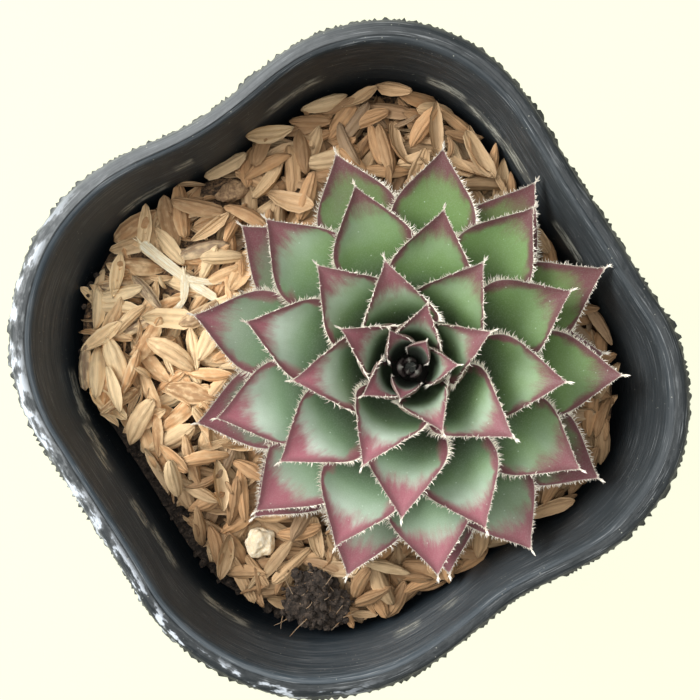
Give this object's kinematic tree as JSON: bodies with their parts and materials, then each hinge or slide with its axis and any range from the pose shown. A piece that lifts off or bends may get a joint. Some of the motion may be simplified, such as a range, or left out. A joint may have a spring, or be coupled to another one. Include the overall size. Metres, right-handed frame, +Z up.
{
  "type": "potted houseleek",
  "caption": "Houseleek rosette of thick pointed leaves in a square nursery pot with rounded corners, its soil covered with rice husks.",
  "frame": {"origin": "middle of the pot's underside, on the surface it stands on", "axes": "+Z up; the pot's sides run along X and Y"},
  "size_m": [0.09, 0.09, 0.0882],
  "materials": {
    "pot_plastic": "satin black, scuffed and dusty, with pale lime marks inside",
    "soil": "dark crumbly compost",
    "rice_husk": "dry, matt, ribbed lengthwise",
    "perlite": "rough cream lump",
    "pebble": "rough tan grit",
    "straw": "pale dry straw",
    "stem_bark": "dry brown stem",
    "young_leaf": "dark green, faintly waxy",
    "leaf": "fleshy, faintly waxy, with wine-red tips and a fringe of white hairs"
  },
  "bodies": {
    "root": {"pot": "pot_plastic", "soil": "soil", "hull_mulch": "rice_husk", "perlite": "perlite", "pebble": "pebble", "soil_clod": "soil", "straw": "straw", "stem": "stem_bark", "heart_bud": "young_leaf", "leaf_01": "leaf", "leaf_02": "leaf", "leaf_03": "leaf", "leaf_04": "leaf", "leaf_05": "leaf", "leaf_06": "leaf", "leaf_07": "leaf", "leaf_08": "leaf", "leaf_09": "leaf", "leaf_10": "leaf", "leaf_11": "leaf", "leaf_12": "leaf", "leaf_13": "leaf", "leaf_14": "leaf", "leaf_15": "leaf", "leaf_16": "leaf", "leaf_17": "leaf", "leaf_18": "leaf", "leaf_19": "leaf", "leaf_20": "leaf", "leaf_21": "leaf", "leaf_22": "leaf", "leaf_23": "leaf", "leaf_24": "leaf", "leaf_25": "leaf", "leaf_26": "leaf", "leaf_27": "leaf", "leaf_28": "leaf", "leaf_29": "leaf", "leaf_30": "leaf", "leaf_31": "leaf", "leaf_32": "leaf", "leaf_33": "leaf", "leaf_34": "leaf", "leaf_35": "leaf", "leaf_36": "leaf", "leaf_37": "leaf", "leaf_38": "leaf", "leaf_39": "leaf", "leaf_40": "leaf", "leaf_41": "leaf", "leaf_42": "leaf", "leaf_43": "leaf", "leaf_44": "leaf"}
  },
  "joints": []
}
